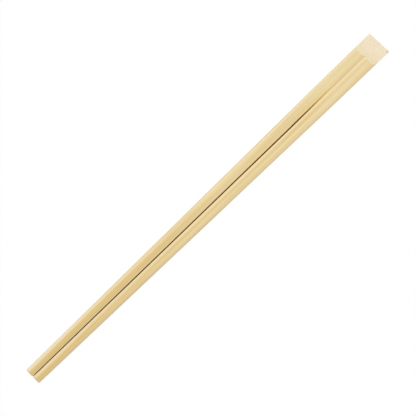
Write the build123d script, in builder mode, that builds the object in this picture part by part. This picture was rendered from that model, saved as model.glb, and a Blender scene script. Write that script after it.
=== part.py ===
from build123d import *
from math import acos, atan2, cos, degrees, radians, sin, tan
import os

# A joined pair of bamboo chopsticks, sawn from one slat of bamboo.
# +X points to the joined butt end, +Y is across the pair and +Z is up.
# The origin is under the middle of the pair, on the surface that it lies on.

# Outline of the pair, which hardly widens over the grip and tapers from there to the tips
length = 240.0
butt_width = 13.3
grip_width = 13.0
tip_width = 9.2
butt_thickness = 5.0
tip_thickness = 4.4
grip_length = 38.0

# Rounding of each stick's outer long edges
butt_edge_radius = 1.2
tip_edge_radius = 2.1

# Groove between the sticks: where its shoulders are, how steep it is and how they are rounded
butt_shoulder = 0.6
tip_shoulder = 1.1
butt_groove_slope = 25.0
tip_groove_slope = 35.0
butt_shoulder_radius = 2.5
tip_shoulder_radius = 3.2

# How far each stick reaches over the middle, so that the two grow together
groove_overlap = 0.2

# Largest share of the material beside a corner that its rounding may take
fullest_rounding = 0.98

# Saw slit from the tips, which drifts to +Y and runs out in a long curve where the blade was lifted
root_kerf = 0.74
tip_kerf = 0.44
root_offset = 0.42
foot_offset = 0.22
uncut_length = 38.9
lift_slope = 2.5
lift_radius = 75.0
saw_overcut = 0.5

# Slanted cut on top of the butt, a little out of square with the sticks
slant_run = 10.5
nose_height = 1.25
cut_skew = 3.5

# Softened rim of each tip
tip_end_radius = 0.5

# Stock and blade travel past the ends, which the cuts remove
cutting_allowance = 5.0

butt_x = length / 2
tip_x = -length / 2
taper_start_x = butt_x - grip_length
stock_width = butt_width + (butt_width - grip_width) * cutting_allowance / grip_length


def stick_section(x, pair_width, thickness, edge_radius, shoulder, slope, shoulder_radius):
    """Section of the +Y stick at x, whose flanks slope down past the middle to form the grooves."""
    outer = pair_width / 2
    rise = (shoulder + groove_overlap) * tan(radians(slope))
    edge_round = min(edge_radius, fullest_rounding * min(thickness, outer) / 2)
    level = outer - shoulder - edge_round
    flank = (shoulder + groove_overlap) / cos(radians(slope))
    tangent = min(shoulder_radius * tan(radians(slope) / 2), fullest_rounding * min(level, flank))
    with BuildSketch(Plane.YZ.offset(x)) as section:
        with BuildLine():
            Polyline(
                (-groove_overlap, rise),
                (shoulder, 0),
                (outer, 0),
                (outer, thickness),
                (shoulder, thickness),
                (-groove_overlap, thickness - rise),
                close=True,
            )
        make_face()
        fillet(section.vertices().group_by(Axis.X)[-1], radius=edge_round)
        fillet(section.vertices().group_by(Axis.X)[1], radius=tangent / tan(radians(slope) / 2))
    return section.sketch


butt_form = (
    butt_thickness,
    butt_edge_radius,
    butt_shoulder,
    butt_groove_slope,
    butt_shoulder_radius,
)
tip_form = (
    tip_thickness,
    tip_edge_radius,
    tip_shoulder,
    tip_groove_slope,
    tip_shoulder_radius,
)
sections = [
    stick_section(butt_x + cutting_allowance, stock_width, *butt_form),
    stick_section(taper_start_x, grip_width, *butt_form),
    stick_section(tip_x, tip_width, *tip_form),
]

# Floor of the slit: a ramp that ends in the top groove, and the curve that falls from it to the underside
lift = radians(lift_slope)
end_x = butt_x - uncut_length
end_z = butt_thickness - butt_shoulder * tan(radians(butt_groove_slope))
hub_x = end_x + lift_radius * sin(lift)
hub_z = end_z - lift_radius * cos(lift)
foot_turn = acos((-saw_overcut - hub_z) / lift_radius)
half_turn = (lift + foot_turn) / 2
foot_x = hub_x - lift_radius * sin(foot_turn)
halfway = (hub_x - lift_radius * sin(half_turn), hub_z + lift_radius * cos(half_turn))
drift = (root_offset - foot_offset) / (end_x - foot_x)
ramp_x = end_x + cutting_allowance
ramp_offset = root_offset + drift * cutting_allowance
ramp_z = end_z + cutting_allowance * tan(lift)
start_x = tip_x - cutting_allowance
clear_z = 2 * butt_thickness

# Planes of the two cuts at the butt, hinged on the longer side's corner
skew = radians(cut_skew)
slant_slope = degrees(atan2(butt_thickness - nose_height, slant_run))
end_plane = Plane(
    origin=(butt_x, -butt_width / 2, 0),
    x_dir=(-sin(skew), cos(skew), 0),
    z_dir=(cos(skew), sin(skew), 0),
)
slant_plane = Plane(
    origin=(butt_x, -butt_width / 2, nose_height),
    x_dir=end_plane.x_dir,
    z_dir=end_plane.z_dir.rotate(Axis(Vector(0, 0, 0), end_plane.x_dir), slant_slope - 90),
)

# Space that the thin blade passed through: its side view, narrowed to its plan
with BuildPart() as blade_space:
    with BuildSketch(Plane.XZ):
        with BuildLine():
            ThreePointArc((foot_x, -saw_overcut), halfway, (end_x, end_z))
            Polyline(
                (end_x, end_z),
                (ramp_x, ramp_z),
                (ramp_x, clear_z),
                (start_x, clear_z),
                (start_x, -saw_overcut),
                (foot_x, -saw_overcut),
            )
        make_face()
    extrude(amount=butt_width, both=True)
    with BuildSketch(Plane.XY):
        with BuildLine():
            Polyline(
                (ramp_x, ramp_offset - root_kerf / 2),
                (ramp_x, ramp_offset + root_kerf / 2),
                (foot_x, foot_offset + root_kerf / 2),
                (start_x, tip_kerf / 2),
                (start_x, -tip_kerf / 2),
                (foot_x, foot_offset - root_kerf / 2),
                close=True,
            )
        make_face()
    extrude(amount=2 * clear_z, both=True, mode=Mode.INTERSECT)

with BuildPart() as chopstick_pair:
    # One stick, from the stock behind its grip to its tip
    loft(sections, ruled=True)
    tip_rim = chopstick_pair.faces().sort_by(Axis.X).first.edges().sort_by(Axis.Y)[1:]
    fillet(tip_rim, radius=tip_end_radius)

    # The second stick, grown together with the first
    mirror(about=Plane.XZ)

    # Slit sawn down from the top, right through until the blade lifts out
    add(blade_space.part, mode=Mode.SUBTRACT)

    # Butt end sawn off, then its top slanted down to a thin nose
    split(bisect_by=end_plane, keep=Keep.BOTTOM)
    split(bisect_by=slant_plane, keep=Keep.BOTTOM)

os.makedirs("parts", exist_ok=True)
chopstick_pair.part.label = "chopstick_pair"
export_step(chopstick_pair.part, "parts/chopstick_pair.step")
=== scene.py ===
"""Looks of a joined pair of bamboo chopsticks on a white table, seen from straight above."""

import logging
import math
from collections.abc import Callable, Sequence
from dataclasses import dataclass
from enum import Enum, IntEnum

import bmesh
import bpy
from mathutils import Color, Matrix, Vector


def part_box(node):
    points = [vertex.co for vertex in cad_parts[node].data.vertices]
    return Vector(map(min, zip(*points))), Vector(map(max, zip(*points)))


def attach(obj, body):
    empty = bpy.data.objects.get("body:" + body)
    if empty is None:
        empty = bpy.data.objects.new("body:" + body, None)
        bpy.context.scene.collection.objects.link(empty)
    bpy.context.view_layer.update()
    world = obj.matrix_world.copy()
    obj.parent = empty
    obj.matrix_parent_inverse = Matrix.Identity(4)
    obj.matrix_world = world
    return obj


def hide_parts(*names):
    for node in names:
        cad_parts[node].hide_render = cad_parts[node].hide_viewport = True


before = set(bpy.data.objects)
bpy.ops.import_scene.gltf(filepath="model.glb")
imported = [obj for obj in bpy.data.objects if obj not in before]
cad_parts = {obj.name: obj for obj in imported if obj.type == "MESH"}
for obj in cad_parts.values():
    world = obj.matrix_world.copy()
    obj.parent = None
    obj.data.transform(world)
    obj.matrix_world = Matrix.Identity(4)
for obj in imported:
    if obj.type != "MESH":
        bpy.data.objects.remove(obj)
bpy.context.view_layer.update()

WEAR_AND_SHEEN = "edge_wear_and_sheen"
LAYOUT = "OFBake"

# A millimetre in metres, and the gaps in millimetres that count as none and that are welded
MM = 0.001
NEAR = 0.001
WELD = 0.0001

Colour = tuple[float, float, float, float]
Triple = tuple[float, float, float]
Socket = bpy.types.NodeSocket
Value = float | Triple | Colour | Socket
MeshItem = bmesh.types.BMVert | bmesh.types.BMEdge | bmesh.types.BMFace

WHITE: Colour = (1.0, 1.0, 1.0, 1.0)
DISPLAY_WHITE = 255

log = logging.getLogger("chopsticks")


def srgb(red: int, green: int, blue: int) -> Colour:
    """Turns a colour as seen on a display into the linear colour that shaders take."""
    display = Color(level / DISPLAY_WHITE for level in (red, green, blue))
    return (*display.from_srgb_to_scene_linear(), 1.0)


def ease(value: float, start: float, end: float) -> float:
    """Goes smoothly from 0 where the value is start to 1 where it is end."""
    share = min(1.0, max(0.0, (value - start) / (end - start)))
    return share * share * (3 - 2 * share)


class Axis(IntEnum):
    """The place of each axis in a vector."""

    X = 0
    Y = 1
    Z = 2


class Element(Enum):
    """What a selection in edit mode is made of."""

    VERTICES = "VERT"
    EDGES = "EDGE"
    FACES = "FACE"


class Surface(Enum):
    """How a face of the bamboo was made, as its material slot."""

    MOULDED = 0
    SLANTED = 1
    SAWN = 2
    END_GRAIN = 3


class Side(Enum):
    """The parts that the surface is laid out in, each seen square on."""

    TOP = "top"
    UNDERSIDE = "underside"
    OUTER_LEFT = "outer side of the +Y stick"
    OUTER_RIGHT = "outer side of the -Y stick"
    INNER_LEFT = "slit wall of the +Y stick"
    INNER_RIGHT = "slit wall of the -Y stick"
    SLANT = "slanted cut"
    BUTT_END = "end of the butt"
    TIP_ENDS = "ends of the tips"


class SocketKind(Enum):
    """The kinds of sockets that the node groups have."""

    VALUE = "NodeSocketFloat"
    VECTOR = "NodeSocketVector"
    COLOUR = "NodeSocketColor"


class CellSpace(Enum):
    """What a pattern of scattered cells fills."""

    PLANE = "2D"
    SPACE = "3D"


class NodeGraph:
    """A node tree with short ways to add nodes and join their sockets."""

    def __init__(self, tree: bpy.types.NodeTree) -> None:
        """Empties the tree and keeps it.

        Args:
            tree: The node tree to fill.
        """
        tree.nodes.clear()
        self.tree = tree

    def add(self, kind: str, *values: Value, **settings: object) -> bpy.types.Node:
        """Adds one node.

        Args:
            kind: The node's type name.
            values: What feeds its first inputs, in order.
            settings: Properties to set on the node.

        Returns:
            The new node.
        """
        node = self.tree.nodes.new(kind)
        for name, setting in settings.items():
            setattr(node, name, setting)
        for socket, value in zip(node.inputs, values):
            self.feed(socket, value)
        return node

    def feed(self, socket: Socket, value: Value) -> None:
        """Links a socket into another one, or sets its plain value.

        Args:
            socket: The input to feed.
            value: An output socket, or a number, vector or colour.
        """
        if isinstance(value, bpy.types.NodeSocket):
            self.tree.links.new(value, socket)
        else:
            socket.default_value = value

    def feed_by_name(self, node: bpy.types.Node, **values: Value) -> None:
        """Feeds a node's inputs by their names, with underscores for spaces."""
        for name, value in values.items():
            self.feed(node.inputs[name.replace("_", " ")], value)

    def math(self, operation: str, first: Value, second: Value = 0.0) -> Socket:
        """Works on one or two numbers by a Math node's operation."""
        return self.add("ShaderNodeMath", first, second, operation=operation).outputs[0]

    def fold(self, operation: str, values: list[Socket]) -> Socket:
        """Joins any number of numbers by one operation.

        Args:
            operation: The Math node's operation.
            values: The numbers, at least one.

        Returns:
            The result.
        """
        result = values[0]
        for value in values[1:]:
            result = self.math(operation, result, value)
        return result

    def vector(self, operation: str, first: Value, second: Value) -> Socket:
        """Works on two vectors by a Vector Math node's operation."""
        node = self.add("ShaderNodeVectorMath", first, second, operation=operation)
        return node.outputs["Vector"]

    def distance(self, first: Value, second: Value) -> Socket:
        """Measures how far two places are apart."""
        node = self.add("ShaderNodeVectorMath", first, second, operation="DISTANCE")
        return node.outputs["Value"]

    def axes(self, vector: Value) -> bpy.types.bpy_prop_collection:
        """Takes a vector apart into the outputs X, Y and Z."""
        return self.add("ShaderNodeSeparateXYZ", vector).outputs

    def fade(self, value: Value, start: float, end: float) -> Socket:
        """Goes smoothly from 0 where the value is start to 1 where it is end."""
        node = self.add("ShaderNodeMapRange", value, start, end, interpolation_type="SMOOTHSTEP")
        return node.outputs["Result"]

    def span(self, value: Value, low: float, high: float) -> Socket:
        """Maps 0 to 1 onto low to high."""
        return self.add("ShaderNodeMapRange", value, 0.0, 1.0, low, high).outputs["Result"]

    def mix(self, factor: Value, first: Value, second: Value) -> Socket:
        """Mixes two colours.

        Args:
            factor: The share of the second colour.
            first: The first colour.
            second: The second colour.

        Returns:
            The mixed colour.
        """
        node = self.add("ShaderNodeMix", data_type="RGBA")
        inputs = {socket.identifier: socket for socket in node.inputs}
        self.feed(inputs["Factor_Float"], factor)
        self.feed(inputs["A_Color"], first)
        self.feed(inputs["B_Color"], second)
        return next(socket for socket in node.outputs if socket.identifier == "Result_Color")

    def mix_shaders(self, factor: Value, first: Socket, second: Socket) -> Socket:
        """Mixes two shaders by the share of the second one."""
        return self.add("ShaderNodeMixShader", factor, first, second).outputs["Shader"]

    def noise(self, place: Value, grain: Triple, detail: float) -> Socket:
        """Makes cloudy noise that can be drawn out along an axis.

        Args:
            place: The place, in millimetres.
            grain: The size of a feature along X, Y and Z, in millimetres.
            detail: The number of finer layers.

        Returns:
            The noise, about 0.5 on average.
        """
        node = self.add("ShaderNodeTexNoise", self.vector("DIVIDE", place, grain))
        self.feed_by_name(node, Scale=1.0, Detail=detail)
        return node.outputs[0]

    def cells(
        self, place: Value, spacing: Triple, scatter: float, space: CellSpace
    ) -> bpy.types.bpy_prop_collection:
        """Makes a pattern of scattered cells.

        Args:
            place: The place, in millimetres.
            spacing: How far the cells are apart along each axis, in millimetres.
            scatter: How far they stray from a grid, from 0 to 1.
            space: What they fill.

        Returns:
            The outputs, such as the distance from the cell's middle and its own random colour.
        """
        node = self.add(
            "ShaderNodeTexVoronoi",
            self.vector("DIVIDE", place, spacing),
            voronoi_dimensions=space.value,
        )
        self.feed_by_name(node, Scale=1.0, Randomness=scatter)
        return node.outputs

    def millimetres(self, place: Value) -> Socket:
        """Turns a place in metres into millimetres."""
        return self.vector("MULTIPLY", place, (1 / MM, 1 / MM, 1 / MM))

    def seen(self) -> Socket:
        """Tells rays that show the scene, which are 1, from rays that only light it.

        Returns:
            The result, 0 or 1.
        """
        rays = self.add("ShaderNodeLightPath").outputs
        kinds = ("Is Camera Ray", "Is Glossy Ray", "Is Transmission Ray")
        return self.fold("MAXIMUM", [rays[kind] for kind in kinds])

    def weighted(self, shares: list[tuple[Socket | None, float]]) -> list[Socket]:
        """Scales each share by how far it shows, and leaves out what doesn't show at all."""
        return [self.math("MULTIPLY", share, show) for share, show in shares if show]

    def group(self, tree: bpy.types.NodeTree, **values: Value) -> bpy.types.bpy_prop_collection:
        """Places a node group.

        Args:
            tree: The group's tree.
            values: What feeds its inputs, by name with underscores for spaces.

        Returns:
            The group node's outputs.
        """
        node = self.add("ShaderNodeGroup", node_tree=tree)
        self.feed_by_name(node, **values)
        return node.outputs


class MaterialGraph(NodeGraph):
    """The graph of a new material."""

    def __init__(self, name: str) -> None:
        """Starts the material.

        Args:
            name: The material's name.
        """
        self.material = bpy.data.materials.new(name)
        self.material.use_nodes = True
        super().__init__(self.material.node_tree)

    def finish(self, shader: Socket) -> bpy.types.Material:
        """Shows a shader on the surface and hands out the material."""
        self.add("ShaderNodeOutputMaterial", shader)
        return self.material


class GroupGraph(NodeGraph):
    """The graph of a shader node group, with its own inputs and outputs."""

    def __init__(
        self, name: str, inputs: dict[str, SocketKind], outputs: dict[str, SocketKind]
    ) -> None:
        """Starts the group.

        Args:
            name: The group's name.
            inputs: The kind of each input, by name.
            outputs: The kind of each output, by name.
        """
        super().__init__(bpy.data.node_groups.new(name, "ShaderNodeTree"))
        for direction, sockets in (("INPUT", inputs), ("OUTPUT", outputs)):
            for socket, kind in sockets.items():
                self.tree.interface.new_socket(socket, in_out=direction, socket_type=kind.value)
        self.brought = self.add("NodeGroupInput").outputs
        self.taken = self.add("NodeGroupOutput").inputs


@dataclass(frozen=True)
class FibreGrain:
    """The fibres inside the slat, all along X: streaks on a long face, dots on a cut one."""

    wander: float = 0.5
    wander_grain: Triple = (45.0, 7.0, 7.0)
    wander_start: float = 31.0
    wander_detail: float = 1.0
    bundle_grain: Triple = (70.0, 0.95, 0.95)
    bundle_scatter: float = 0.85
    bundle_core: float = 0.16
    bundle_rim: float = 0.42
    bundle_relief: float = 0.4
    streak_grain: Triple = (32.0, 0.17, 0.17)
    streak_detail: float = 3.0
    band_grain: Triple = (150.0, 1.7, 1.7)
    band_detail: float = 2.0
    contrast: tuple[float, float] = (0.3, 0.7)

    def group(self) -> bpy.types.NodeTree:
        """Builds the node group.

        Returns:
            A group that takes a place in metres and gives bundles, streaks, bands and relief.
        """
        outputs = {name: SocketKind.VALUE for name in ("Bundles", "Streaks", "Bands", "Relief")}
        graph = GroupGraph("bamboo_fibre_grain", {"Vector": SocketKind.VECTOR}, outputs)
        place = self.wandering(graph, graph.millimetres(graph.brought["Vector"]))

        cells = graph.cells(place, self.bundle_grain, self.bundle_scatter, CellSpace.SPACE)
        chance = graph.axes(cells["Color"])["X"]
        core = graph.fade(cells["Distance"], self.bundle_rim, self.bundle_core)
        bundles = graph.math("MULTIPLY", core, chance)

        streaks = graph.noise(place, self.streak_grain, self.streak_detail)
        streaks = graph.fade(streaks, *self.contrast)
        bands = graph.noise(place, self.band_grain, self.band_detail)
        bands = graph.fade(bands, *self.contrast)
        relief = graph.math("ADD", streaks, graph.math("MULTIPLY", bundles, self.bundle_relief))
        for socket, value in zip(graph.taken, (bundles, streaks, bands, relief)):
            graph.feed(socket, value)
        return graph.tree

    def wandering(self, graph: GroupGraph, place: Socket) -> Socket:
        """Lets the fibres wander a little from straight lines.

        Args:
            graph: The group's graph.
            place: The place, in millimetres.

        Returns:
            The place moved across the fibres.
        """
        drift = graph.add("ShaderNodeCombineXYZ")
        for axis, start in (("Y", 0.0), ("Z", self.wander_start)):
            moved = graph.vector("ADD", place, (start, start, start))
            wave = graph.noise(moved, self.wander_grain, self.wander_detail)
            graph.feed(drift.inputs[axis], graph.span(wave, -self.wander / 2, self.wander / 2))
        return graph.vector("ADD", place, drift.outputs["Vector"])


@dataclass(frozen=True)
class FibreEnds:
    """The cut ends of the fibre bundles: dots on an end, and short dashes on a slanted cut."""

    spacing: Triple = (0.6, 0.6, 1.0)
    scatter: float = 0.8
    core: float = 0.12
    rim: float = 0.3
    faintest: float = 0.3

    def group(self) -> bpy.types.NodeTree:
        """Builds the node group.

        Returns:
            A group that takes a place in metres and gives dots from 0 to 1.
        """
        inputs = {"Vector": SocketKind.VECTOR}
        graph = GroupGraph("bamboo_fibre_ends", inputs, {"Dots": SocketKind.VALUE})
        axes = graph.axes(graph.millimetres(graph.brought["Vector"]))
        across = graph.add("ShaderNodeCombineXYZ", axes["Y"], axes["Z"]).outputs["Vector"]
        cells = graph.cells(across, self.spacing, self.scatter, CellSpace.PLANE)
        dots = graph.fade(cells["Distance"], self.rim, self.core)
        strength = graph.span(graph.axes(cells["Color"])["X"], self.faintest, 1.0)
        graph.feed(graph.taken["Dots"], graph.math("MULTIPLY", dots, strength))
        return graph.tree


@dataclass(frozen=True)
class SawMarks:
    """The fine marks that a saw leaves square to the fibres on the faces that it made."""

    grain: Triple = (0.22, 7.0, 7.0)
    detail: float = 1.0
    contrast: tuple[float, float] = (0.35, 0.65)

    def group(self) -> bpy.types.NodeTree:
        """Builds the node group.

        Returns:
            A group that takes a place in metres and gives marks from 0 to 1.
        """
        graph = GroupGraph("saw_marks", {"Vector": SocketKind.VECTOR}, {"Marks": SocketKind.VALUE})
        place = graph.millimetres(graph.brought["Vector"])
        lines = graph.noise(place, self.grain, self.detail)
        graph.feed(graph.taken["Marks"], graph.fade(lines, *self.contrast))
        return graph.tree


@dataclass(frozen=True)
class FibreColour:
    """How the colours of the bamboo lie over each other."""

    layers: tuple[str, ...] = ("Golden", "Pale", "Fibre")

    def group(self) -> bpy.types.NodeTree:
        """Builds the node group.

        Returns:
            A group that takes a base colour and each layer's colour and share, and mixes them.
        """
        inputs = {"Base": SocketKind.COLOUR}
        for layer in self.layers:
            inputs |= {layer: SocketKind.COLOUR, f"{layer} share": SocketKind.VALUE}
        graph = GroupGraph("bamboo_fibre_colour", inputs, {"Color": SocketKind.COLOUR})
        colour = graph.brought["Base"]
        for layer in self.layers:
            colour = graph.mix(graph.brought[f"{layer} share"], colour, graph.brought[layer])
        graph.feed(graph.taken["Color"], colour)
        return graph.tree


class BambooEffects:
    """The node groups that the finishes share."""

    def __init__(self) -> None:
        """Builds the groups."""
        self.grain = FibreGrain().group()
        self.ends = FibreEnds().group()
        self.marks = SawMarks().group()
        self.colour = FibreColour().group()


@dataclass(frozen=True)
class Stripe:
    """A soft stripe along the fibres on both faces of the slat, in millimetres."""

    y: float
    half_width: float
    start: float
    end: float
    share: float
    fade_length: float = 14.0

    def mask(self, graph: NodeGraph, place: Socket) -> Socket:
        """Marks the stripe.

        Args:
            graph: The material's graph.
            place: Object coordinates.

        Returns:
            The stripe's share of its colour.
        """
        axes = graph.axes(place)
        aside = graph.math("ABSOLUTE", graph.math("SUBTRACT", axes["Y"], self.y * MM))
        parts = [
            graph.fade(aside, self.half_width * MM, 0.0),
            graph.fade(axes["X"], self.start * MM, (self.start + self.fade_length) * MM),
            graph.fade(axes["X"], self.end * MM, (self.end - self.fade_length) * MM),
        ]
        return graph.math("MULTIPLY", graph.fold("MULTIPLY", parts), self.share)


@dataclass(frozen=True)
class Fleck:
    """A small fleck of dark fibre, in millimetres."""

    place: Triple
    radius: float
    share: float
    grain: Triple = (1.2, 0.5, 0.5)
    detail: float = 2.0
    faintest: float = 0.4
    strongest: float = 1.6

    def mask(self, graph: NodeGraph, place: Socket) -> Socket:
        """Marks the fleck.

        Args:
            graph: The material's graph.
            place: Object coordinates.

        Returns:
            The fleck's share of the fibre colour.
        """
        here = graph.millimetres(place)
        near = graph.fade(graph.distance(here, self.place), self.radius, 0.0)
        cloud = graph.noise(here, self.grain, self.detail)
        ragged = graph.math("MULTIPLY", near, graph.span(cloud, self.faintest, self.strongest))
        return graph.math("MULTIPLY", ragged, self.share)


@dataclass(frozen=True)
class BambooFinish:
    """One finish of the bamboo: its colours, how far the fibres show and how it takes light."""

    name: str
    base: Colour
    golden: Colour
    pale: Colour
    fibre: Colour
    band_show: float
    streak_show: float
    bundle_show: float
    smooth_roughness: float
    rough_roughness: float
    relief: float
    tip_gold: float
    tip_gold_start: float
    tip_gold_end: float
    mark_show: float = 0.0
    mark_relief: float = 0.0
    dot_show: float = 0.0
    polish: float = 0.0
    polish_roughness: float = 0.3
    pale_wear_and_sheen: float = 0.0
    rim_gold: float = 0.0
    golden_stripes: tuple[Stripe, ...] = ()
    pale_stripes: tuple[Stripe, ...] = ()
    flecks: tuple[Fleck, ...] = ()

    def material(self, effects: BambooEffects) -> bpy.types.Material:
        """Builds the material.

        Args:
            effects: The shared node groups.

        Returns:
            The finished material.
        """
        graph = MaterialGraph(self.name)
        place = graph.add("ShaderNodeTexCoord").outputs["Object"]
        # Edge wear together with painted sheen, strongest on slopes turned to the lamp
        wear_and_sheen = graph.add("ShaderNodeAttribute", attribute_name=WEAR_AND_SHEEN).outputs["Fac"]
        fibres = graph.group(effects.grain, Vector=place)
        marks = graph.group(effects.marks, Vector=place)["Marks"] if self.mark_relief else None
        dots = graph.group(effects.ends, Vector=place)["Dots"] if self.dot_show else None

        colours = graph.group(
            effects.colour,
            Base=self.base,
            Golden=self.golden,
            Golden_share=self.golden_share(graph, place, fibres["Bands"], wear_and_sheen, marks),
            Pale=self.pale,
            Pale_share=self.pale_share(graph, place, fibres["Streaks"], wear_and_sheen),
            Fibre=self.fibre,
            Fibre_share=self.fibre_share(graph, place, fibres["Bundles"], dots),
        )
        heights = [fibres["Relief"], *graph.weighted([(marks, self.mark_relief)])]
        bump = graph.add("ShaderNodeBump")
        graph.feed_by_name(bump, Distance=self.relief * MM, Height=graph.fold("ADD", heights))

        shader = graph.add("ShaderNodeBsdfPrincipled")
        graph.feed_by_name(
            shader,
            Base_Color=colours["Color"],
            Roughness=graph.span(fibres["Streaks"], self.rough_roughness, self.smooth_roughness),
            Coat_Weight=self.polish,
            Coat_Roughness=self.polish_roughness,
            Normal=bump.outputs["Normal"],
        )
        return graph.finish(shader.outputs["BSDF"])

    def golden_share(
        self, graph: NodeGraph, place: Socket, bands: Socket, wear_and_sheen: Socket, marks: Socket | None
    ) -> Socket:
        """Deepens the colour in bands and stripes, some of them painted shade in the groove,
        towards the tips, at the rims of cuts and in saw marks.

        Args:
            graph: The material's graph.
            place: Object coordinates.
            bands: The broad bands of the grain.
            wear_and_sheen: The edge wear with painted sheen, which here sets the gold at the rims
                of cuts.
            marks: The saw marks, where the finish has them.

        Returns:
            The share of the golden colour.
        """
        along = graph.axes(place)["X"]
        towards_tip = graph.fade(along, self.tip_gold_start * MM, self.tip_gold_end * MM)
        shares = graph.weighted(
            [
                (bands, self.band_show),
                (towards_tip, self.tip_gold),
                (wear_and_sheen, self.rim_gold),
                (marks, self.mark_show),
            ]
        )
        shares.extend(stripe.mask(graph, place) for stripe in self.golden_stripes)
        return graph.fold("ADD", shares)

    def pale_share(self, graph: NodeGraph, place: Socket, streaks: Socket, wear_and_sheen: Socket) -> Socket:
        """Lightens the colour in streaks and stripes, and on sloping edges by wear and painted
        sheen.

        Args:
            graph: The material's graph.
            place: Object coordinates.
            streaks: The fine streaks of the grain.
            wear_and_sheen: The edge wear with painted sheen.

        Returns:
            The share of the pale colour.
        """
        shares = graph.weighted([(streaks, self.streak_show), (wear_and_sheen, self.pale_wear_and_sheen)])
        shares.extend(stripe.mask(graph, place) for stripe in self.pale_stripes)
        return graph.fold("MAXIMUM", shares)

    def fibre_share(
        self, graph: NodeGraph, place: Socket, bundles: Socket, dots: Socket | None
    ) -> Socket:
        """Darkens the colour in fibre bundles and flecks.

        Args:
            graph: The material's graph.
            place: Object coordinates.
            bundles: The bundles of the grain.
            dots: The cut ends of the bundles, where the finish has them.

        Returns:
            The share of the fibre colour.
        """
        shares = graph.weighted([(bundles, self.bundle_show), (dots, self.dot_show)])
        shares.extend(fleck.mask(graph, place) for fleck in self.flecks)
        return graph.fold("MAXIMUM", shares)


MOULDED_BAMBOO = BambooFinish(
    name="moulded_bamboo",
    base=srgb(231, 208, 152),
    golden=srgb(219, 184, 103),
    pale=srgb(236, 223, 190),
    fibre=srgb(204, 168, 104),
    band_show=0.28,
    streak_show=0.25,
    bundle_show=0.4,
    smooth_roughness=0.34,
    rough_roughness=0.46,
    relief=0.015,
    tip_gold=0.8,
    tip_gold_start=20.0,
    tip_gold_end=-115.0,
    polish=0.25,
    # Paleness on sloping edges: partly wear, partly a painted sheen of the lamp
    pale_wear_and_sheen=1.0,
    golden_stripes=(
        Stripe(y=2.0, half_width=1.5, start=-130.0, end=88.0, share=0.42),
        Stripe(y=-2.0, half_width=1.5, start=-140.0, end=-72.0, share=0.4),
        Stripe(y=-2.0, half_width=1.5, start=-96.0, end=88.0, share=0.2),
        Stripe(y=-2.0, half_width=1.5, start=-36.0, end=88.0, share=0.26),
        Stripe(y=2.7, half_width=0.8, start=-75.0, end=12.0, share=0.3),
        Stripe(y=2.0, half_width=1.2, start=20.0, end=78.0, share=0.2),
        Stripe(y=-2.2, half_width=0.7, start=-60.0, end=75.0, share=0.22),
        Stripe(y=-4.4, half_width=0.9, start=0.0, end=72.0, share=0.25),
        # Painted shade: these two golden stripes darken the groove's +Y side around the slit's end
        # and on towards the butt
        Stripe(y=0.45, half_width=0.7, start=70.0, end=112.0, share=0.45),
        Stripe(y=0.5, half_width=0.5, start=72.0, end=104.0, share=0.3),
    ),
    pale_stripes=(Stripe(y=-3.6, half_width=0.7, start=30.0, end=116.0, share=0.4),),
)
SLANTED_BAMBOO = BambooFinish(
    name="slanted_bamboo",
    base=srgb(246, 230, 202),
    golden=srgb(239, 221, 180),
    pale=srgb(251, 243, 224),
    fibre=srgb(205, 170, 98),
    band_show=0.25,
    streak_show=0.25,
    bundle_show=0.22,
    smooth_roughness=0.6,
    rough_roughness=0.8,
    relief=0.03,
    tip_gold=0.75,
    tip_gold_start=118.0,
    tip_gold_end=108.0,
    mark_show=0.12,
    mark_relief=0.5,
    dot_show=0.2,
    rim_gold=0.6,
    flecks=(Fleck(place=(119.2, -6.0, 1.3), radius=1.2, share=0.7),),
)
SAWN_BAMBOO = BambooFinish(
    name="sawn_bamboo",
    base=srgb(222, 181, 72),
    golden=srgb(199, 146, 50),
    pale=srgb(223, 191, 110),
    fibre=srgb(172, 124, 54),
    band_show=0.4,
    streak_show=0.25,
    bundle_show=0.5,
    smooth_roughness=0.7,
    rough_roughness=0.9,
    relief=0.04,
    tip_gold=0.2,
    tip_gold_start=70.0,
    tip_gold_end=-60.0,
    mark_show=0.3,
    mark_relief=0.8,
    pale_stripes=(Stripe(y=0.42, half_width=4.0, start=70.0, end=110.0, share=1.0),),
)
END_GRAIN_BAMBOO = BambooFinish(
    name="end_grain_bamboo",
    base=srgb(233, 211, 165),
    golden=srgb(222, 192, 132),
    pale=srgb(241, 226, 190),
    fibre=srgb(158, 114, 58),
    band_show=0.35,
    streak_show=0.3,
    bundle_show=0.15,
    smooth_roughness=0.7,
    rough_roughness=0.85,
    relief=0.02,
    tip_gold=0.25,
    tip_gold_start=0.0,
    tip_gold_end=-100.0,
    dot_show=0.85,
    rim_gold=0.5,
)


@dataclass(frozen=True)
class EdgeWearAndSheen:
    """How sloping faces are paled by wear and painted sheen, at the butt and the tips, by side."""

    left_butt: float = 0.12
    left_tip: float = 0.9
    right_butt: float = 0.38
    right_tip: float = 0.42
    groove_flank: float = 0.42
    start: float = 0.0
    end: float = -115.0

    def share(self, place: Vector, normal: Vector, groove_flank: bool) -> float:
        """Says how pale one place is made by wear and by painted sheen.

        Args:
            place: The place, in metres.
            normal: The surface's normal there.
            groove_flank: Whether the place is on the inner half of the +Y stick, where a face
                turned to -Y is the groove's flank.

        Returns:
            The share of the pale colour, from 0 to 1.
        """
        # Sine of twice the slope, which is 0 on level and upright faces and 1 halfway between them
        slope = 2 * abs(normal.z * normal.y)
        towards_tip = ease(place.x / MM, self.start, self.end)
        # Faces turned to +Y, towards the lamp, are made paler: a painted sheen on top of the wear
        if normal.y > 0:
            butt, tip = self.left_butt, self.left_tip
        elif groove_flank:
            butt, tip = self.groove_flank, self.groove_flank
        else:
            butt, tip = self.right_butt, self.right_tip
        return slope * (butt + (tip - butt) * towards_tip)


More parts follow.
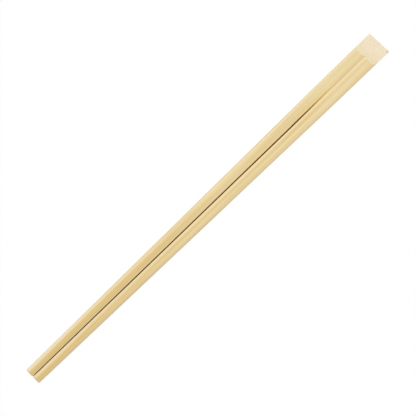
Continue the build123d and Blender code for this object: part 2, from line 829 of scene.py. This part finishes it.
@dataclass(frozen=True)
class Chart:
    """Where one part of the surface lies in the layout, with the start and scale of each axis."""

    u_axis: Axis
    v_axis: Axis
    u_start: float
    v_start: float
    u_scale: float
    v_scale: float

    def uv(self, place: Vector) -> tuple[float, float]:
        """Finds the layout place of a point in millimetres."""
        return (
            self.u_start + place[self.u_axis] * self.u_scale,
            self.v_start + place[self.v_axis] * self.v_scale,
        )


def lies_across(item: MeshItem, x: float) -> bool:
    """Says whether an edge or face lies in the plane across X at x."""
    return all(abs(vertex.co.x - x) < NEAR for vertex in item.verts)


class Workpiece:
    """A mesh on the bench, shaped in edit mode in millimetres."""

    def __init__(self, name: str) -> None:
        """Starts an empty mesh at the origin and opens it in edit mode.

        Args:
            name: The object's name.
        """
        bpy.ops.object.select_all(action="DESELECT")
        bpy.ops.mesh.primitive_plane_add(size=1.0)
        self.object: bpy.types.Object = bpy.context.object
        self.object.name = name
        self.object.data.name = name
        self.edit()
        bpy.ops.mesh.delete(type="VERT")

    def edit(self) -> None:
        """Opens the mesh in edit mode with all of it selected."""
        bpy.ops.object.mode_set(mode="EDIT")
        bpy.ops.mesh.select_mode(type="VERT")
        self.select_all()

    def rest(self) -> None:
        """Goes back to object mode."""
        bpy.ops.object.mode_set(mode="OBJECT")

    def select_all(self) -> None:
        """Selects the whole mesh."""
        bpy.ops.mesh.select_all(action="SELECT")

    def face_outwards(self) -> None:
        """Turns all faces outwards."""
        self.select_all()
        bpy.ops.mesh.normals_make_consistent(inside=False)

    def extrude(self, move: Sequence[float]) -> None:
        """Extrudes what is selected and moves the new part."""
        bpy.ops.mesh.extrude_region_move(TRANSFORM_OT_translate={"value": move})

    def select(self, element: Element, test: Callable[[MeshItem], bool]) -> None:
        """Selects the vertices, edges or faces that pass a test, and nothing else.

        Args:
            element: What is selected.
            test: Says whether one vertex, edge or face is wanted.
        """
        bpy.ops.mesh.select_mode(type=element.value)
        bpy.ops.mesh.select_all(action="DESELECT")
        mesh = bmesh.from_edit_mesh(self.object.data)
        mesh.normal_update()
        kinds = {
            Element.VERTICES: mesh.verts,
            Element.EDGES: mesh.edges,
            Element.FACES: mesh.faces,
        }
        for item in [item for item in kinds[element] if test(item)]:
            item.select_set(True)
        mesh.select_flush_mode()
        bmesh.update_edit_mesh(self.object.data)


@dataclass(frozen=True)
class Section:
    """The section of the +Y stick at one place, with flanks that slope to form the grooves."""

    x: float
    pair_width: float
    thickness: float
    edge_radius: float
    shoulder_radius: float
    shoulder: float
    groove_slope: float

    @property
    def outer(self) -> float:
        """Y of the outer side."""
        return self.pair_width / 2

    @property
    def groove_floor(self) -> float:
        """Height of the line in which the two sticks meet."""
        return self.thickness - self.shoulder * math.tan(self.groove_slope)

    @property
    def shoulder_tangent(self) -> float:
        """Length that the shoulder's rounding takes from the top and from the flank."""
        return self.shoulder_radius * math.tan(self.groove_slope / 2)


@dataclass
class ChopstickPair:
    """Two tapering sticks in one slat of bamboo, joined at the butt and slit from the tips.

    Lengths are in millimetres, and angles in radians.
    """

    # Outline, which hardly widens over the grip and tapers from there to the tips
    length: float
    butt_width: float
    butt_thickness: float
    grip_width: float = 13.0
    tip_width: float = 9.2
    tip_thickness: float = 4.4
    grip_length: float = 38.0

    # What the piece stands for in the frame
    node: str = "chopstick_pair"
    slot: str = "bamboo"

    # Rounded outer edges, and the groove between the sticks with its rounded shoulders
    butt_edge_radius: float = 1.2
    tip_edge_radius: float = 2.1
    butt_shoulder: float = 0.6
    tip_shoulder: float = 1.1
    butt_groove_slope: float = math.radians(25)
    tip_groove_slope: float = math.radians(35)
    butt_shoulder_radius: float = 2.5
    tip_shoulder_radius: float = 3.2
    groove_overlap: float = 0.2

    # Saw slit, which drifts to +Y and runs out in a long curve where the blade was lifted
    root_kerf: float = 0.74
    tip_kerf: float = 0.44
    root_offset: float = 0.42
    foot_offset: float = 0.22
    uncut_length: float = 38.9
    lift_slope: float = math.radians(2.5)
    lift_radius: float = 75.0
    saw_overcut: float = 0.5

    # Cuts at the butt, the tips' softened rims, and the stock that the cuts remove
    slant_run: float = 10.5
    nose_height: float = 1.25
    cut_skew: float = math.radians(3.5)
    tip_end_radius: float = 0.5
    allowance: float = 5.0

    # Facets
    arc_segments: int = 14
    lift_segments: int = 48
    tip_end_segments: int = 6
    level_cuts: int = 5
    upright_cuts: int = 2
    grip_cuts: int = 20
    taper_cuts: int = 100
    shortest_edge: float = 0.06
    cut_rim: float = 0.3
    smooth_angle: float = math.radians(17)
    layout_gap: float = 0.6

    # What tells the faces apart: corners of a whole cut, and how far a face looks along X or Y
    cut_corners: int = 20
    end_facing: float = 0.9
    slant_facing: float = 0.25
    wall_facing: float = 0.95
    floor_facing: float = 0.01

    @property
    def butt_x(self) -> float:
        """X of the longer side's butt corner."""
        return self.length / 2

    @property
    def tip_x(self) -> float:
        """X of the tips' ends."""
        return -self.length / 2

    @property
    def inner_half(self) -> float:
        """Distance from the middle that the inner half of a tip takes."""
        return self.tip_width / 4

    @property
    def slit_end_x(self) -> float:
        """X at which the slit's floor comes up to the groove."""
        return self.butt_x - self.uncut_length

    @property
    def end_normal(self) -> Vector:
        """Outward normal of the butt's end, turned a little towards +Y."""
        return Vector((math.cos(self.cut_skew), math.sin(self.cut_skew), 0.0))

    @property
    def slant_normal(self) -> Vector:
        """Outward normal of the slanted cut above the butt's end."""
        slope = math.atan2(self.butt_thickness - self.nose_height, self.slant_run)
        return self.end_normal * math.sin(slope) + Vector((0.0, 0.0, math.cos(slope)))

    def sections(self) -> list[Section]:
        """Lists the sections from the butt to the tips.

        Returns:
            The butt with stock to cut off, the start of the taper, and the tip.
        """
        flare = (self.butt_width - self.grip_width) / self.grip_length
        butt = (
            self.butt_thickness,
            self.butt_edge_radius,
            self.butt_shoulder_radius,
            self.butt_shoulder,
            self.butt_groove_slope,
        )
        tip = (
            self.tip_thickness,
            self.tip_edge_radius,
            self.tip_shoulder_radius,
            self.tip_shoulder,
            self.tip_groove_slope,
        )
        return [
            Section(self.butt_x + self.allowance, self.butt_width + flare * self.allowance, *butt),
            Section(self.butt_x - self.grip_length, self.grip_width, *butt),
            Section(self.tip_x, self.tip_width, *tip),
        ]

    def build(self) -> bpy.types.Object:
        """Models the pair.

        Returns:
            The finished mesh object, in metres.
        """
        piece = Workpiece("joined_chopsticks")
        self.loft_stick(piece)
        self.round_tip(piece)
        self.mirror_stick(piece)
        self.saw_slit(piece)
        self.cut_butt(piece)
        self.rim_cuts(piece)
        self.sort_faces(piece)
        self.finish_mesh(piece)
        self.write_wear_and_sheen(piece)
        self.lay_out(piece)
        return piece.object

    def loft_stick(self, piece: Workpiece) -> None:
        """Draws the sections and bridges them into one closed stick.

        Args:
            piece: The open mesh.
        """
        sections = self.sections()
        for section in sections:
            self.draw_section(piece, section)
        cuts = (self.grip_cuts, self.taper_cuts)
        for first, second, count in zip(sections, sections[1:], cuts):
            ends = (first.x, second.x)
            piece.select(Element.EDGES, lambda edge: any(lies_across(edge, x) for x in ends))
            bpy.ops.mesh.bridge_edge_loops(number_cuts=count, interpolation="LINEAR")
        for section in (sections[0], sections[-1]):
            piece.select(Element.EDGES, lambda edge: lies_across(edge, section.x))
            bpy.ops.mesh.edge_face_add()
        piece.face_outwards()

    def draw_section(self, piece: Workpiece, section: Section) -> None:
        """Draws one rounded section as a loop of edges.

        Args:
            piece: The open mesh.
            section: The section to draw.
        """
        width = section.outer - section.shoulder
        middle = (section.x, section.shoulder + width / 2, section.thickness / 2)
        upright = (0.0, math.pi / 2, 0.0)
        bpy.ops.mesh.primitive_plane_add(size=1.0, location=middle, rotation=upright)
        bpy.ops.transform.resize(value=(1.0, width, section.thickness), center_override=middle)

        past_middle = section.shoulder + self.groove_overlap
        flank_end = section.thickness - 2 * past_middle * math.tan(section.groove_slope)
        self.select_at_y(piece, Element.EDGES, section, section.shoulder)
        piece.extrude((0.0, -past_middle, 0.0))
        narrowing = (1.0, 1.0, flank_end / section.thickness)
        bpy.ops.transform.resize(value=narrowing, center_override=middle)
        self.select_at_y(piece, Element.EDGES, section, section.shoulder)
        bpy.ops.mesh.dissolve_edges(use_verts=False)

        corners = (
            (section.outer, section.edge_radius),
            (section.shoulder, section.shoulder_tangent),
        )
        for y, offset in corners:
            self.select_at_y(piece, Element.VERTICES, section, y)
            bpy.ops.mesh.bevel(
                offset=offset, segments=self.arc_segments, affect="VERTICES", clamp_overlap=False
            )
        piece.select(Element.FACES, lambda face: lies_across(face, section.x))
        bpy.ops.mesh.delete(type="ONLY_FACE")
        self.divide_flats(piece, section, Vector((0.0, 1.0, 0.0)), self.level_cuts)
        self.divide_flats(piece, section, Vector((0.0, 0.0, 1.0)), self.upright_cuts)

    def select_at_y(self, piece: Workpiece, element: Element, section: Section, y: float) -> None:
        """Selects what a section has at one distance from the middle.

        Args:
            piece: The open mesh.
            element: Vertices or edges.
            section: The section.
            y: The distance from the middle.
        """

        def wanted(item: MeshItem) -> bool:
            """Says whether all of the item's vertices lie there."""
            corners = [item] if element is Element.VERTICES else item.verts
            return all(abs(v.co.x - section.x) < NEAR and abs(v.co.y - y) < NEAR for v in corners)

        piece.select(element, wanted)

    def divide_flats(
        self, piece: Workpiece, section: Section, direction: Vector, cuts: int
    ) -> None:
        """Divides a section's straight edges that run in one direction.

        Args:
            piece: The open mesh.
            section: The section.
            direction: The edges' direction.
            cuts: How many cuts each edge gets.
        """

        def wanted(edge: bmesh.types.BMEdge) -> bool:
            """Says whether the edge is in the section and runs in the direction."""
            run = edge.verts[1].co - edge.verts[0].co
            return lies_across(edge, section.x) and run.cross(direction).length < NEAR

        piece.select(Element.EDGES, wanted)
        bpy.ops.mesh.subdivide(number_cuts=cuts)

    def round_tip(self, piece: Workpiece) -> None:
        """Softens the rim of the tip.

        Args:
            piece: The open mesh of one stick.
        """
        piece.select(Element.EDGES, lambda edge: lies_across(edge, self.tip_x))
        bpy.ops.mesh.bevel(
            offset=self.tip_end_radius,
            segments=self.tip_end_segments,
            affect="EDGES",
            clamp_overlap=False,
        )

    def mirror_stick(self, piece: Workpiece) -> None:
        """Grows the second stick together with the first.

        Args:
            piece: The open mesh of one stick.
        """
        piece.select_all()
        bpy.ops.mesh.symmetrize(direction="POSITIVE_Y", threshold=NEAR)
        piece.rest()

    def saw_slit(self, piece: Workpiece) -> None:
        """Saws the slit with the block of space that the thin blade passed through.

        Args:
            piece: The pair, in object mode.
        """
        space = self.blade_space()
        bpy.ops.object.select_all(action="DESELECT")
        piece.object.select_set(True)
        bpy.context.view_layer.objects.active = piece.object
        cut = piece.object.modifiers.new("saw_slit", "BOOLEAN")
        cut.object = space.object
        cut.operation = "DIFFERENCE"
        cut.solver = "EXACT"
        bpy.ops.object.modifier_apply(modifier=cut.name)
        bpy.data.objects.remove(space.object)

    def slit_floor(self) -> list[Vector]:
        """Follows the middle of the slit's floor from its ramp to past the tips.

        Returns:
            The points of the floor's middle line.
        """
        taper_start = self.sections()[1]
        end_z = taper_start.groove_floor
        hub_x = self.slit_end_x + self.lift_radius * math.sin(self.lift_slope)
        hub_z = end_z - self.lift_radius * math.cos(self.lift_slope)
        foot_turn = math.acos((-self.saw_overcut - hub_z) / self.lift_radius)
        foot_x = hub_x - self.lift_radius * math.sin(foot_turn)
        drift = (self.root_offset - self.foot_offset) / (self.slit_end_x - foot_x)

        ramp_rise = self.allowance * math.tan(self.lift_slope)
        outline = [(self.slit_end_x + self.allowance, end_z + ramp_rise)]
        for step in range(self.lift_segments + 1):
            turn = self.lift_slope + (foot_turn - self.lift_slope) * step / self.lift_segments
            x = hub_x - self.lift_radius * math.sin(turn)
            z = hub_z + self.lift_radius * math.cos(turn)
            outline.append((x, z))
        points = [Vector((x, self.foot_offset + drift * (x - foot_x), z)) for x, z in outline]
        points.append(Vector((self.tip_x - self.allowance, 0.0, -self.saw_overcut)))
        return points

    def blade_space(self) -> Workpiece:
        """Models the space that the blade passed through.

        Returns:
            The closed block, in object mode.
        """
        points = self.slit_floor()
        block = Workpiece("blade_space")
        bpy.ops.mesh.primitive_plane_add(size=self.root_kerf, location=points[0])
        block.select(Element.VERTICES, lambda vertex: vertex.co.x > points[0].x)
        bpy.ops.mesh.delete(type="VERT")
        block.select_all()
        bpy.ops.transform.translate(value=(self.root_kerf / 2, 0.0, 0.0))
        for here, there in zip(points, points[1:]):
            block.extrude(there - here)
        narrowing = (1.0, self.tip_kerf / self.root_kerf, 1.0)
        bpy.ops.transform.resize(value=narrowing, center_override=points[-1])
        bpy.ops.mesh.select_mode(type="FACE")
        block.select_all()
        block.extrude((0.0, 0.0, 2 * self.butt_thickness))
        block.face_outwards()
        block.rest()
        return block

    def cut_butt(self, piece: Workpiece) -> None:
        """Cuts off the butt's end and slants its top.

        Args:
            piece: The slit pair, in object mode.
        """
        corner = Vector((self.butt_x, -self.butt_width / 2, 0.0))
        nose = corner + Vector((0.0, 0.0, self.nose_height))
        piece.edit()
        for point, normal in ((corner, self.end_normal), (nose, self.slant_normal)):
            piece.select_all()
            bpy.ops.mesh.bisect(
                plane_co=point, plane_no=normal, use_fill=True, clear_outer=True, threshold=WELD
            )
        piece.select_all()
        bpy.ops.mesh.remove_doubles(threshold=WELD)
        piece.rest()

    def rim_cuts(self, piece: Workpiece) -> None:
        """Gives the slanted cut and the tips' ends a narrow rim of faces.

        Args:
            piece: The cut pair, in object mode.
        """
        piece.edit()
        piece.select(Element.FACES, self.is_rimmed_cut)
        bpy.ops.mesh.remove_doubles(threshold=self.shortest_edge)
        bpy.ops.mesh.inset(thickness=self.cut_rim, use_individual=True)
        piece.rest()

    def is_rimmed_cut(self, face: bmesh.types.BMFace) -> bool:
        """Says whether a face is the whole slanted cut or the whole end of a tip.

        Args:
            face: The face.

        Returns:
            Whether it has the many corners of a cut and looks the right way.
        """
        tip_end = face.normal.x < -self.end_facing
        slant = self.slant_facing < face.normal.x < self.end_facing
        return len(face.verts) > self.cut_corners and (tip_end or slant)

    def sort_faces(self, piece: Workpiece) -> None:
        """Gives each face the material slot of how it was made.

        Args:
            piece: The cut pair, in object mode.
        """
        mesh = piece.object.data
        for _ in Surface:
            mesh.materials.append(None)
        run_out = self.slit_floor()[0]
        slit_reach = run_out.y + self.root_kerf / 2 + NEAR
        for face in mesh.polygons:
            along, aside = face.normal.x, abs(face.normal.y)
            within = all(abs(mesh.vertices[i].co.y) < slit_reach for i in face.vertices)
            wall_or_floor = aside > self.wall_facing or aside < self.floor_facing
            if within and wall_or_floor and self.tip_x + NEAR < face.center.x < run_out.x:
                face.material_index = Surface.SAWN.value
            elif abs(along) > self.end_facing:
                face.material_index = Surface.END_GRAIN.value
            elif along > self.slant_facing:
                face.material_index = Surface.SLANTED.value
            else:
                face.material_index = Surface.MOULDED.value

    def finish_mesh(self, piece: Workpiece) -> None:
        """Brings the mesh to metres and smooths it between its sharp edges.

        Args:
            piece: The sorted pair, in object mode.
        """
        piece.edit()
        bpy.ops.transform.resize(value=(MM, MM, MM), center_override=(0.0, 0.0, 0.0))
        piece.rest()
        bpy.ops.object.shade_smooth_by_angle(angle=self.smooth_angle)

    def write_wear_and_sheen(self, piece: Workpiece) -> None:
        """Writes how pale each place is made by wear and painted sheen: slopes by their side, cuts
        only at the rim.

        Args:
            piece: The finished mesh, in object mode.
        """
        mesh = piece.object.data
        wear_and_sheen_rule = EdgeWearAndSheen()
        groove = self.inner_half * MM
        marks = mesh.attributes.new(WEAR_AND_SHEEN, "FLOAT", "POINT")
        for vertex, mark in zip(mesh.vertices, marks.data):
            mark.value = wear_and_sheen_rule.share(vertex.co, vertex.normal, 0 < vertex.co.y < groove)
        for face in mesh.polygons:
            if len(face.vertices) > self.cut_corners:
                for index in face.vertices:
                    marks.data[index].value = 0.0

    def lay_out(self, piece: Workpiece) -> None:
        """Lays the surface out flat in a UV map of its own.

        Args:
            piece: The finished mesh, in object mode.
        """
        mesh = piece.object.data
        charts = self.charts()
        layer = mesh.uv_layers.new(name=LAYOUT)
        for face in mesh.polygons:
            chart = charts[self.side_of(face)]
            for loop in face.loop_indices:
                place = mesh.vertices[mesh.loops[loop].vertex_index].co / MM
                layer.data[loop].uv = chart.uv(place)

    def side_of(self, face: bpy.types.MeshPolygon) -> Side:
        """Finds the part of the surface that a face belongs to.

        Args:
            face: The face, in metres.

        Returns:
            The part.
        """
        normal = face.normal
        outer = abs(face.center.y) > self.inner_half * MM
        if face.material_index == Surface.SLANTED.value:
            return Side.SLANT
        if abs(normal.x) > max(abs(normal.y), abs(normal.z)):
            return Side.BUTT_END if normal.x > 0 else Side.TIP_ENDS
        if abs(normal.z) > abs(normal.y):
            return Side.TOP if normal.z > 0 else Side.UNDERSIDE
        if normal.y > 0:
            return Side.OUTER_LEFT if outer else Side.INNER_RIGHT
        return Side.OUTER_RIGHT if outer else Side.INNER_LEFT

    def charts(self) -> dict[Side, Chart]:
        """Plans the layout: the long sides as strips along U, one above the other, then the cuts.

        Returns:
            The chart of each part of the surface.
        """
        flat = (Axis.Y, -self.butt_width / 2, self.butt_width)
        upright = (Axis.Z, 0.0, self.butt_thickness)
        strips = {
            Side.TOP: flat,
            Side.UNDERSIDE: flat,
            Side.OUTER_LEFT: upright,
            Side.OUTER_RIGHT: upright,
            Side.INNER_LEFT: upright,
            Side.INNER_RIGHT: upright,
        }
        sheet = sum(height for _, _, height in strips.values()) + self.butt_width
        rows = len(strips) + 1
        sheet += self.layout_gap * (rows + 1)
        long_scale = (1 - 2 * self.layout_gap / sheet) / self.length
        middle = 0.5
        charts = {}
        bottom = self.layout_gap
        for side, (axis, low, height) in strips.items():
            start = (bottom - low) / sheet
            charts[side] = Chart(Axis.X, axis, middle, start, long_scale, 1 / sheet)
            bottom += height + self.layout_gap

        slant_length = self.slant_run + self.butt_width * math.tan(self.cut_skew)
        along = (Axis.X, self.butt_x - slant_length, slant_length)
        cuts = {
            Side.SLANT: (along, flat),
            Side.BUTT_END: (flat, upright),
            Side.TIP_ENDS: (flat, upright),
        }
        left = self.layout_gap
        for side, ((u_axis, u_low, u_size), (v_axis, v_low, _)) in cuts.items():
            starts = ((left - u_low) / sheet, (bottom - v_low) / sheet)
            charts[side] = Chart(u_axis, v_axis, *starts, 1 / sheet, 1 / sheet)
            left += u_size + self.layout_gap
        return charts

    def dress(self, piece: bpy.types.Object) -> None:
        """Puts the finishes on the faces and ties the piece to the frame.

        Args:
            piece: The finished mesh object.
        """
        effects = BambooEffects()
        finishes = {
            Surface.MOULDED: MOULDED_BAMBOO,
            Surface.SLANTED: SLANTED_BAMBOO,
            Surface.SAWN: SAWN_BAMBOO,
            Surface.END_GRAIN: END_GRAIN_BAMBOO,
        }
        for surface, finish in finishes.items():
            piece.data.materials[surface.value] = finish.material(effects)
        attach(piece, "root")
        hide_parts(self.node)


@dataclass
class WhiteTable:
    """The white table, which the camera sees as even white but for a faint shadow.

    Sizes are in metres. The strip of the table under the slit is painted shade, darker towards the
    tips and lighter at its open end.
    """

    slit_start: float
    slit_end: float
    size: float = 30.0
    clearance: float = 0.02 * MM
    contact: float = 0.1 * MM
    paint: Colour = srgb(243, 243, 243)
    # Painted shade for the strip under the slit: deeper towards the tips, lighter at the tips'
    # opening
    shade: Colour = srgb(104, 68, 2)
    deep_shade: Colour = srgb(70, 42, 0)
    deep_start: float = 20.0 * MM
    deep_end: float = -60.0 * MM
    mouth_shade: Colour = srgb(176, 146, 96)
    mouth_length: float = 2.5 * MM
    shade_reach: float = 0.24 * MM
    shade_edge: float = 0.1 * MM
    shade_drift: float = 0.0012
    shade_spread: float = 0.0009
    open_end: float = 0.4 * MM
    lift: float = 0.98

    def build(self) -> bpy.types.Object:
        """Lays the table top.

        Returns:
            The table top.
        """
        bpy.ops.object.select_all(action="DESELECT")
        bpy.ops.mesh.primitive_plane_add(size=self.size, location=(0.0, 0.0, -self.clearance))
        table = bpy.context.object
        table.name = "white_table"
        table.data.materials.append(self.material())
        return table

    def material(self) -> bpy.types.Material:
        """Builds the paint, clear from below and under the sticks, to show their undersides.

        Returns:
            The table's material.
        """
        graph = MaterialGraph("white_table")
        axes = graph.axes(graph.add("ShaderNodeTexCoord").outputs["Object"])
        lit = self.lit_share(graph, axes)
        depth = graph.fade(axes["X"], self.deep_start, self.deep_end)
        mouth = graph.fade(axes["X"], self.slit_start + self.mouth_length, self.slit_start)
        # Painted shade under the slit: both the paint and the glow that the camera sees take these
        # dark colours there
        shade = graph.mix(depth, self.shade, self.deep_shade)
        shade = graph.mix(mouth, shade, self.mouth_shade)
        paint = graph.add("ShaderNodeBsdfPrincipled", graph.mix(lit, shade, self.paint))
        graph.feed_by_name(paint, Roughness=1.0, Specular_IOR_Level=0.0)
        glow = graph.add("ShaderNodeEmission", graph.mix(lit, shade, WHITE))
        share = graph.math("MULTIPLY", graph.seen(), self.lift)
        top = graph.mix_shaders(share, paint.outputs["BSDF"], glow.outputs["Emission"])

        below = graph.add("ShaderNodeNewGeometry").outputs["Backfacing"]
        reach = graph.add("ShaderNodeLightPath").outputs["Ray Length"]
        clear = graph.math("MAXIMUM", below, graph.math("LESS_THAN", reach, self.contact))
        opening = graph.add("ShaderNodeBsdfTransparent").outputs["BSDF"]
        return graph.finish(graph.mix_shaders(clear, top, opening))

    def lit_share(self, graph: NodeGraph, axes: bpy.types.bpy_prop_collection) -> Socket:
        """Tells the open table from the strip under the slit, which is painted in shade.

        Args:
            graph: The material's graph.
            axes: The place on the table, as X, Y and Z.

        Returns:
            The result, which is 0 under the slit and 1 elsewhere.
        """
        along = graph.math("SUBTRACT", axes["X"], self.slit_start)
        middle = graph.math("MULTIPLY", along, self.shade_drift)
        aside = graph.math("ABSOLUTE", graph.math("SUBTRACT", axes["Y"], middle))
        beyond = graph.math("SUBTRACT", aside, graph.math("MULTIPLY", along, self.shade_spread))
        outside = [
            graph.fade(beyond, self.shade_reach, self.shade_reach + self.shade_edge),
            graph.fade(along, self.open_end, 0.0),
            graph.math("GREATER_THAN", axes["X"], self.slit_end),
        ]
        return graph.fold("MAXIMUM", outside)


@dataclass
class StudioLight:
    """A white room and one large soft lamp on the +Y side."""

    lamp_level: Triple = (0.32, 0.34, 0.39)
    lamp_size: float = 0.7
    lamp_distance: float = 1.0
    lamp_elevation: float = math.radians(62)
    lamp_turn: float = math.radians(10)

    def build(self) -> None:
        """Sets the room's light and hangs the lamp."""
        self.light_room()
        self.hang_lamp()

    def light_room(self) -> None:
        """Fills the world with even light, and shows it white behind the table."""
        world = bpy.data.worlds.new("white_room")
        world.use_nodes = True
        bpy.context.scene.world = world
        graph = NodeGraph(world.node_tree)
        level = (*(1 - share for share in self.lamp_level), 1.0)
        room = graph.add("ShaderNodeBackground", graph.mix(graph.seen(), level, WHITE))
        graph.add("ShaderNodeOutputWorld", room.outputs["Background"])

    def hang_lamp(self) -> None:
        """Hangs the lamp so that it adds its share of a plain level on a level surface."""
        aside = self.lamp_distance * math.cos(self.lamp_elevation)
        height = self.lamp_distance * math.sin(self.lamp_elevation)
        x = aside * math.sin(self.lamp_turn)
        y = aside * math.cos(self.lamp_turn)
        place = Vector((x, y, height))
        # Solid angle of a square lamp that is seen square on
        reach = (self.lamp_size / 2) ** 2
        solid_angle = 4 * math.asin(reach / (reach + self.lamp_distance**2))
        brightest = max(self.lamp_level)
        radiance = brightest / (solid_angle * math.sin(self.lamp_elevation))

        lamp = bpy.data.lights.new("soft_lamp", "AREA")
        lamp.shape = "SQUARE"
        lamp.size = self.lamp_size
        lamp.color = tuple(level / brightest for level in self.lamp_level)
        # Power at which a square area lamp has this radiance
        lamp.energy = radiance * (math.pi * self.lamp_size) ** 2
        holder = bpy.data.objects.new("soft_lamp", lamp)
        holder.location = place
        holder.rotation_mode = "QUATERNION"
        holder.rotation_quaternion = (-place).to_track_quat("-Z", "Y")
        holder.visible_camera = False
        bpy.context.scene.collection.objects.link(holder)


@dataclass
class OverheadCamera:
    """A camera straight above, turned so that the sticks run from lower left to upper right."""

    view_width: float = 206.75 * MM
    distance: float = 2.0
    turn: float = math.radians(-43.92)
    shift_right: float = 0.80 * MM
    shift_up: float = 0.63 * MM
    sensor: float = 36.0

    def build(self, centre: Vector) -> None:
        """Places the camera and makes it the scene's.

        Args:
            centre: The middle of the object's top, in metres.
        """
        camera = bpy.data.cameras.new("overhead_camera")
        camera.sensor_width = self.sensor
        camera.lens = self.sensor * self.distance / self.view_width
        aside = Matrix.Rotation(self.turn, 3, "Z") @ Vector((self.shift_right, self.shift_up, 0.0))
        holder = bpy.data.objects.new("overhead_camera", camera)
        holder.location = centre + aside + Vector((0.0, 0.0, self.distance))
        holder.rotation_euler = (0.0, 0.0, self.turn)
        bpy.context.scene.collection.objects.link(holder)
        bpy.context.scene.camera = holder


def main() -> None:
    """Builds the pair, the table, the light and the camera."""
    logging.basicConfig(level=logging.INFO, format="%(name)s: %(message)s")
    low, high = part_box("chopstick_pair")
    size = (high - low) / MM
    pair = ChopstickPair(length=size.x, butt_width=-2 * low.y / MM, butt_thickness=size.z)
    piece = pair.build()
    pair.dress(piece)
    log.info("%s: %d faces, replaces %s", piece.name, len(piece.data.polygons), pair.node)

    table = WhiteTable(slit_start=low.x, slit_end=pair.slit_end_x * MM).build()
    log.info("%s: stage", table.name)
    StudioLight().build()
    OverheadCamera().build(Vector((0.0, 0.0, high.z)))
    bpy.context.scene.view_settings.view_transform = "Standard"


if __name__ == "__main__":
    main()
